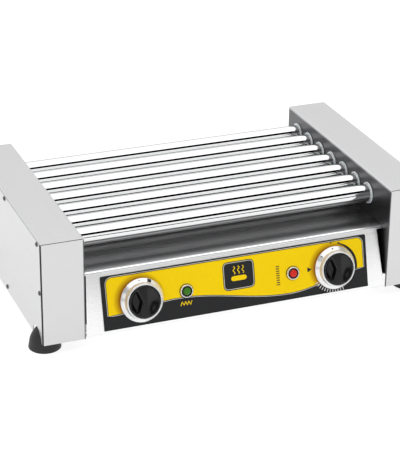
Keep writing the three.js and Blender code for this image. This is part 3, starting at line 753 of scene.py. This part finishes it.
# ---- knobs and skirts --------------------------------------------------------------------------------
KNOB_BOTTOM = 1.1 * MM
KNOB_TOP = 15.2 * MM
KNOB_R = 22.5 * MM
KNOB_EDGE = 1.5 * MM
KNOB_ROUND, KNOB_RINGS = 144, 48
LIP = 1.6 * MM                   # flat edge round the hollows
SCOOP_DEPTH = 6.6 * MM           # the finger scoop, on the left only
SCOOP_RAMP = 6 * MM              # the scoop's floor climbs to the lip over this length
WAIST = 2.2 * MM                 # half width of the grip bar at its middle
BAR_SPREAD = 7.5 * MM            # added towards its ends
BAR_WALL = 4.4 * MM              # the scoop reaches its depth over this width
SLOPE_DEPTH = 1.6 * MM           # a shallow dip on the right instead
SLOPE_WALL = 12 * MM
SLOPE_RAMP = 16 * MM
SKIRT_GAP = 0.15 * MM
SKIRT_R, SKIRT_BASE_TOP = 30.4 * MM, 2.4 * MM
SKIRT_FLANGE_R, SKIRT_FLANGE_TOP = 25.6 * MM, 7.2 * MM
SKIRT_NECK_R, SKIRT_NECK_TOP = 24.9 * MM, 13.4 * MM
SKIRT_RIM_R, SKIRT_TOP = 24.3 * MM, 14 * MM
SKIRT_FILLET = 0.8 * MM
SKIRT_ROUND = 144
MARK_SUNK, MARK_PROUD, MARK_CORNER = 0.3 * MM, 0.12 * MM, 0.5 * MM
# control, name, angle in degrees, then half its length round the skirt and half its width in millimetres
SKIRT_MARKS = [
    ("switch", "switch_index", 96, 1.3, 0.5),
    ("switch", "switch_pointer", 66, 2.7, 2.6),
    ("thermostat", "thermostat_index", 97, 1.1, 1.1),
    ("thermostat", "thermostat_stop", 137, 0.6, 1.8),
]


def smooth_step(value):
    t = min(1.0, max(0.0, value))
    return t * t * (3 - 2 * t)


def knob_height(u, v):
    reach = KNOB_R - LIP
    radius = math.hypot(u, v)
    if u > 0:
        slope = smooth_step((u - WAIST) / SLOPE_WALL) * smooth_step((reach - radius) / SLOPE_RAMP)
        return KNOB_TOP - SLOPE_DEPTH * slope
    bar = WAIST + BAR_SPREAD * abs(v) / reach
    beside = smooth_step((-u - bar) / BAR_WALL)
    within = smooth_step((reach - radius) / SCOOP_RAMP)
    return KNOB_TOP - SCOOP_DEPTH * beside * within


def knob_piece(control):
    """One skin: from the middle out over the hollowed face and rounded edge, then down the side."""
    matrix = panel_at(KNOB_XS[control], KNOB_S)
    flat = KNOB_R - KNOB_EDGE
    vertices = [matrix @ Vector((0, 0, KNOB_TOP))]
    loops = [(flat * ring / KNOB_RINGS, None) for ring in range(1, KNOB_RINGS + 1)]
    loops += [(flat + KNOB_EDGE * math.sin(a), KNOB_TOP - KNOB_EDGE * (1 - math.cos(a)))
              for a in (math.radians(30), math.radians(60), math.radians(90))]
    loops.append((KNOB_R, KNOB_BOTTOM))
    for radius, height in loops:
        for k in range(KNOB_ROUND):
            angle = 2 * math.pi * k / KNOB_ROUND
            u, v = radius * math.cos(angle), radius * math.sin(angle)
            vertices.append(matrix @ Vector((u, v, knob_height(u, v) if height is None else height)))
    faces = [(0, 1 + k, 1 + (k + 1) % KNOB_ROUND) for k in range(KNOB_ROUND)]
    for ring in range(len(loops) - 1):
        low, high = 1 + ring * KNOB_ROUND, 1 + (ring + 1) * KNOB_ROUND
        faces += [(low + k, high + k, high + (k + 1) % KNOB_ROUND, low + (k + 1) % KNOB_ROUND)
                  for k in range(KNOB_ROUND)]
    last = 1 + (len(loops) - 1) * KNOB_ROUND
    faces.append(tuple(range(last, last + KNOB_ROUND)))
    piece = build(f"{control}_knob_grip", vertices, faces, knob_black, sharp=60)
    ready(piece, f"{control}_control", "black_plastic", f"{control}_knob")


def skirt_piece(control):
    matrix = panel_at(KNOB_XS[control], KNOB_S)
    bore = KNOB_R + SKIRT_GAP
    profile = filleted([
        (bore, KNOB_BOTTOM), (SKIRT_R, KNOB_BOTTOM), (SKIRT_R, SKIRT_BASE_TOP),
        (SKIRT_FLANGE_R, SKIRT_FLANGE_TOP), (SKIRT_NECK_R, SKIRT_NECK_TOP), (SKIRT_RIM_R, SKIRT_TOP),
        (bore, SKIRT_TOP)], SKIRT_FILLET)
    piece = lathe(f"{control}_skirt_ring", profile, SKIRT_ROUND, matrix, skirt_silver)
    ready(piece, f"{control}_control", "chrome_trim", f"{control}_skirt")


def skirt_mark(control, name, angle, half_long, half_wide):
    """A dark mark on the skirt's cone, its first half size round the skirt."""
    low, high = Vector((SKIRT_R, SKIRT_BASE_TOP)), Vector((SKIRT_FLANGE_R, SKIRT_FLANGE_TOP))
    middle = low.lerp(high, 0.5)
    slope = (high - low).normalized()
    turn = Matrix.Rotation(math.radians(angle), 4, "Z")
    place = turn @ Vector((middle.x, 0, middle.y))
    around = turn @ Vector((0, 1, 0))
    up = turn @ Vector((slope.x, 0, slope.y))
    basis = Matrix((around, up, around.cross(up))).transposed().to_4x4()
    matrix = panel_at(KNOB_XS[control], KNOB_S) @ Matrix.Translation(place) @ basis
    outline = filleted(rectangle(half_long * MM, half_wide * MM), MARK_CORNER)
    piece = slab(name, outline, -MARK_SUNK, MARK_PROUD, matrix, print_and_shade_black)
    ready(piece, f"{control}_control", "printed_label")


for control_name in KNOB_XS:
    knob_piece(control_name)
    skirt_piece(control_name)
for mark in SKIRT_MARKS:
    skirt_mark(*mark)


# ---- lamps -------------------------------------------------------------------------------------------
# (radius, height above the panel) in millimetres
BEZEL = [(7.5, 0.2), (8.4, 0.2), (8.4, 1.1), (9.4, 1.1), (9.4, 2.2), (8.7, 3.6), (7.5, 3.6)]
BEZEL_FILLET = 0.35 * MM
# a rubber gasket under each bezel; its rim past the bezel is painted shade, drawing the bezel's contact
# shadow
SHADOW_GASKET = [(8.5, 0.82), (10.1, 0.82), (10.1, 1.05), (8.5, 1.05)]
SHADE = [(0, 0.4), (7.2, 0.4), (7.2, 3.3), (0, 3.3)]
DOME_R, DOME_FOOT, DOME_SPRING, DOME_RISE = 5.3, 3.3, 3.4, 3.1
DOME_STEP = 9                    # degrees
BEZEL_ROUND, LENS_ROUND = 72, 48


def lamp(color, lens_material):
    low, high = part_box(f"{color}_lamp_bezel")
    place = PANEL.inverted() @ ((low + high) / 2)
    place.z = 0
    matrix = PANEL @ Matrix.Translation(place)
    bezel = filleted(millimetres(BEZEL), BEZEL_FILLET)
    ready(lathe(f"{color}_lamp_ring", bezel, BEZEL_ROUND, matrix, chrome), "body", "chrome_trim",
          f"{color}_lamp_bezel")
    # the gasket's rim round the bezel is painted shade
    ready(lathe(f"{color}_lamp_gasket_and_shadow", millimetres(SHADOW_GASKET), BEZEL_ROUND, matrix, rubber), "body", "rubber")
    shade = lathe(f"{color}_lamp_shade", millimetres(SHADE), LENS_ROUND, matrix, lens_shade, closed=False)
    ready(shade, "body", f"{color}_lens")
    dome = [(0, DOME_FOOT)]
    dome += [(DOME_R * math.cos(math.radians(a)), DOME_SPRING + DOME_RISE * math.sin(math.radians(a)))
             for a in range(0, 90, DOME_STEP)]
    dome.append((0, DOME_SPRING + DOME_RISE))
    lens = lathe(f"{color}_lamp_dome", millimetres(dome), LENS_ROUND, matrix, lens_material, closed=False)
    ready(lens, "body", f"{color}_lens", f"{color}_lamp_lens")


lamp("green", green_lens)
lamp("red", red_lens)


# ---- feet and screws -----------------------------------------------------------------------------------
# (radius, height) in millimetres
FOOT_SHAPE = [(22, 0.6), (22, 1.5), (21, 7.5), (19.8, 14), (17.5, 19.5), (14.5, 24.5), (11, 29), (6, 31)]
FOOT_RECESS = [(0, 6), (7, 6), (7, 0.4), (8, 0), (21.4, 0)]
WASHER = [(2, 4.9), (6.2, 4.9), (6.2, 6), (2, 6)]
FOOT_ROUND, SCREW_ROUND = 72, 40
FOOT_SCREW_R, FOOT_SCREW_HEIGHT = 3.6 * MM, 2.2 * MM
SCREW_R, SCREW_HEIGHT = 3.3 * MM, 1.9 * MM
SCREW_SUNK = 0.2 * MM
SCREW_EDGE = 0.35                # shares of the head's height
# the cross recess is drawn as a black cross that stands on the head, as painted shade
SLOT_FLOOR = 0.6
SLOT_ARM, SLOT_HALF = 0.52, 0.13  # shares of its radius
SLOT_PROUD = 0.04 * MM
SLOT_TURN = 0.4


def foot_piece(node):
    low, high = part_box(node)
    centre = (low + high) / 2
    matrix = Matrix.Translation((centre.x, centre.y, low.z))
    top = (0, FOOT_SHAPE[-1][1])
    profile = millimetres(FOOT_RECESS + FOOT_SHAPE + [top])
    ready(lathe(node + "_rubber", profile, FOOT_ROUND, matrix, rubber, closed=False), "body", "rubber", node)
    ready(lathe(node + "_washer", millimetres(WASHER), SCREW_ROUND, matrix, zinc), "body", "zinc_steel")
    seat = Matrix.Translation((centre.x, centre.y, low.z + WASHER[0][1] * MM))
    screw_head(node + "_screw", seat @ Matrix.Rotation(math.pi, 4, "X"), FOOT_SCREW_R, FOOT_SCREW_HEIGHT)


def screw_head(name, matrix, radius=SCREW_R, height=SCREW_HEIGHT):
    """A domed head that stands on the matrix's Z = 0 plane, with a black cross on it: painted shade for its
    cross recess.
    """
    edge = height * SCREW_EDGE
    dome = [(0, -SCREW_SUNK), (radius, -SCREW_SUNK), (radius, edge)]
    dome += [(radius * math.cos(math.radians(a)), edge + (height - edge) * math.sin(math.radians(a)))
             for a in range(15, 90, 15)] + [(0, height)]
    ready(lathe(name, dome, SCREW_ROUND, matrix, screw_steel, closed=False), "body", "zinc_steel")
    cross = rectangle(radius * SLOT_ARM, radius * SLOT_HALF)
    for number, turn in enumerate((0, math.pi / 2), start=1):
        slot_matrix = matrix @ Matrix.Rotation(turn + SLOT_TURN, 4, "Z")
        slot = slab(f"{name}_slot_{number}", cross, height * SLOT_FLOOR, height + SLOT_PROUD, slot_matrix,
                    print_and_shade_black)
        ready(slot, "body", "zinc_steel")


for foot_end in ("front", "rear"):
    for foot_side in SIDES:
        foot_piece(f"foot_{foot_end}_{foot_side}")

# millimetres behind the front, or across, then up
COVER_SCREWS = [(14, 157), (168, 157), (328, 157), (7.5, 89.5), (334.5, 89.5), (170, 22)]
REAR_SCREWS = [(-208, 94), (0, 94), (208, 94), (-208, 24), (0, 24), (208, 24)]


def cover_screws():
    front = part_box("left_end_box")[0].y
    for side, sign in SIDES.items():
        low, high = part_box(f"{side}_side_cover")
        face = high.x if sign > 0 else low.x
        for number, (back, up) in enumerate(COVER_SCREWS, start=1):
            matrix = facing((sign, 0, 0), (face, front + back * MM, up * MM))
            screw_head(f"{side}_cover_screw_{number}", matrix)


def rear_screws():
    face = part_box("rear_panel")[1].y
    for number, (x, up) in enumerate(REAR_SCREWS, start=1):
        screw_head(f"rear_screw_{number}", facing((0, 1, 0), (x * MM, face, up * MM)))


cover_screws()
rear_screws()


# ---- floor, light --------------------------------------------------------------------------------
FLOOR_GLOW = 0.84
FLOOR_HALF = 12
FLOOR_ROUGHNESS = 0.9
TURN_TO_BACK = 0.3               # the front sky fades into the back one from -0.3 to 0.3 in Y
STUDIO_PEAK = 1.60               # brightness of the overhead box, the brightest stop
# (Z of a unit direction, brightness): in the front sky dark gaps part the floor, a box and the
# overhead box, and the steel reflects them as dark lines
FRONT_SKY = [(-0.05, 0.90), (-0.02, 0.0), (0.11, 0.0), (0.15, 1.20), (0.47, 1.23), (0.51, 0.0), (0.78, 0.0),
             (0.81, STUDIO_PEAK), (1.0, STUDIO_PEAK)]
BACK_SKY = [(-0.02, 0.60), (0.22, 0.68), (0.42, 0.95), (0.60, 1.30), (0.75, STUDIO_PEAK),
            (1.0, STUDIO_PEAK)]


def make_floor():
    made = Nodes("floor")
    made.tint(made.noise((2, 2, 2)), (0.29, 0.29, 0.29), (0.31, 0.31, 0.31))
    made.set(Roughness=FLOOR_ROUGHNESS, Emission_Color=(1, 1, 1, 1), Emission_Strength=FLOOR_GLOW)
    corners = [(x, y, 0) for x, y in rectangle(FLOOR_HALF, FLOOR_HALF)]
    floor = build("floor", corners, [(0, 1, 2, 3)], made.material)


def sky_ramp(tree, height, stops):
    ramp = tree.nodes.new("ShaderNodeValToRGB")
    elements = ramp.color_ramp.elements
    while len(elements) < len(stops):
        elements.new(0.5)
    for element, (level, light) in zip(elements, stops):
        element.position = (level + 1) / 2
        grey = light / STUDIO_PEAK
        element.color = (grey, grey, grey, 1)
    tree.links.new(height, ramp.inputs["Fac"])
    return ramp.outputs["Color"]


def remapped(tree, value, low, high):
    node = tree.nodes.new("ShaderNodeMapRange")
    node.inputs["From Min"].default_value = low
    node.inputs["From Max"].default_value = high
    tree.links.new(value, node.inputs["Value"])
    return node.outputs["Result"]


def make_world():
    """A white studio: boxes parted by dark gaps in front, an even climb of light at the back."""
    world = bpy.data.worlds.new("studio")
    world.use_nodes = True
    tree = world.node_tree
    direction = tree.nodes.new("ShaderNodeTexCoord")
    split = tree.nodes.new("ShaderNodeSeparateXYZ")
    tree.links.new(direction.outputs["Generated"], split.inputs["Vector"])
    height = remapped(tree, split.outputs["Z"], -1, 1)
    blend = tree.nodes.new("ShaderNodeMix")
    blend.data_type = "RGBA"
    tree.links.new(remapped(tree, split.outputs["Y"], -TURN_TO_BACK, TURN_TO_BACK), blend.inputs["Factor"])
    tree.links.new(sky_ramp(tree, height, FRONT_SKY), blend.inputs[MIX_A])
    tree.links.new(sky_ramp(tree, height, BACK_SKY), blend.inputs[MIX_B])
    background = tree.nodes["Background"]
    background.inputs["Strength"].default_value = STUDIO_PEAK
    tree.links.new(blend.outputs[MIX_RESULT], background.inputs["Color"])
    bpy.context.scene.world = world
    bpy.context.scene.view_settings.view_transform = "Standard"


make_floor()
make_world()
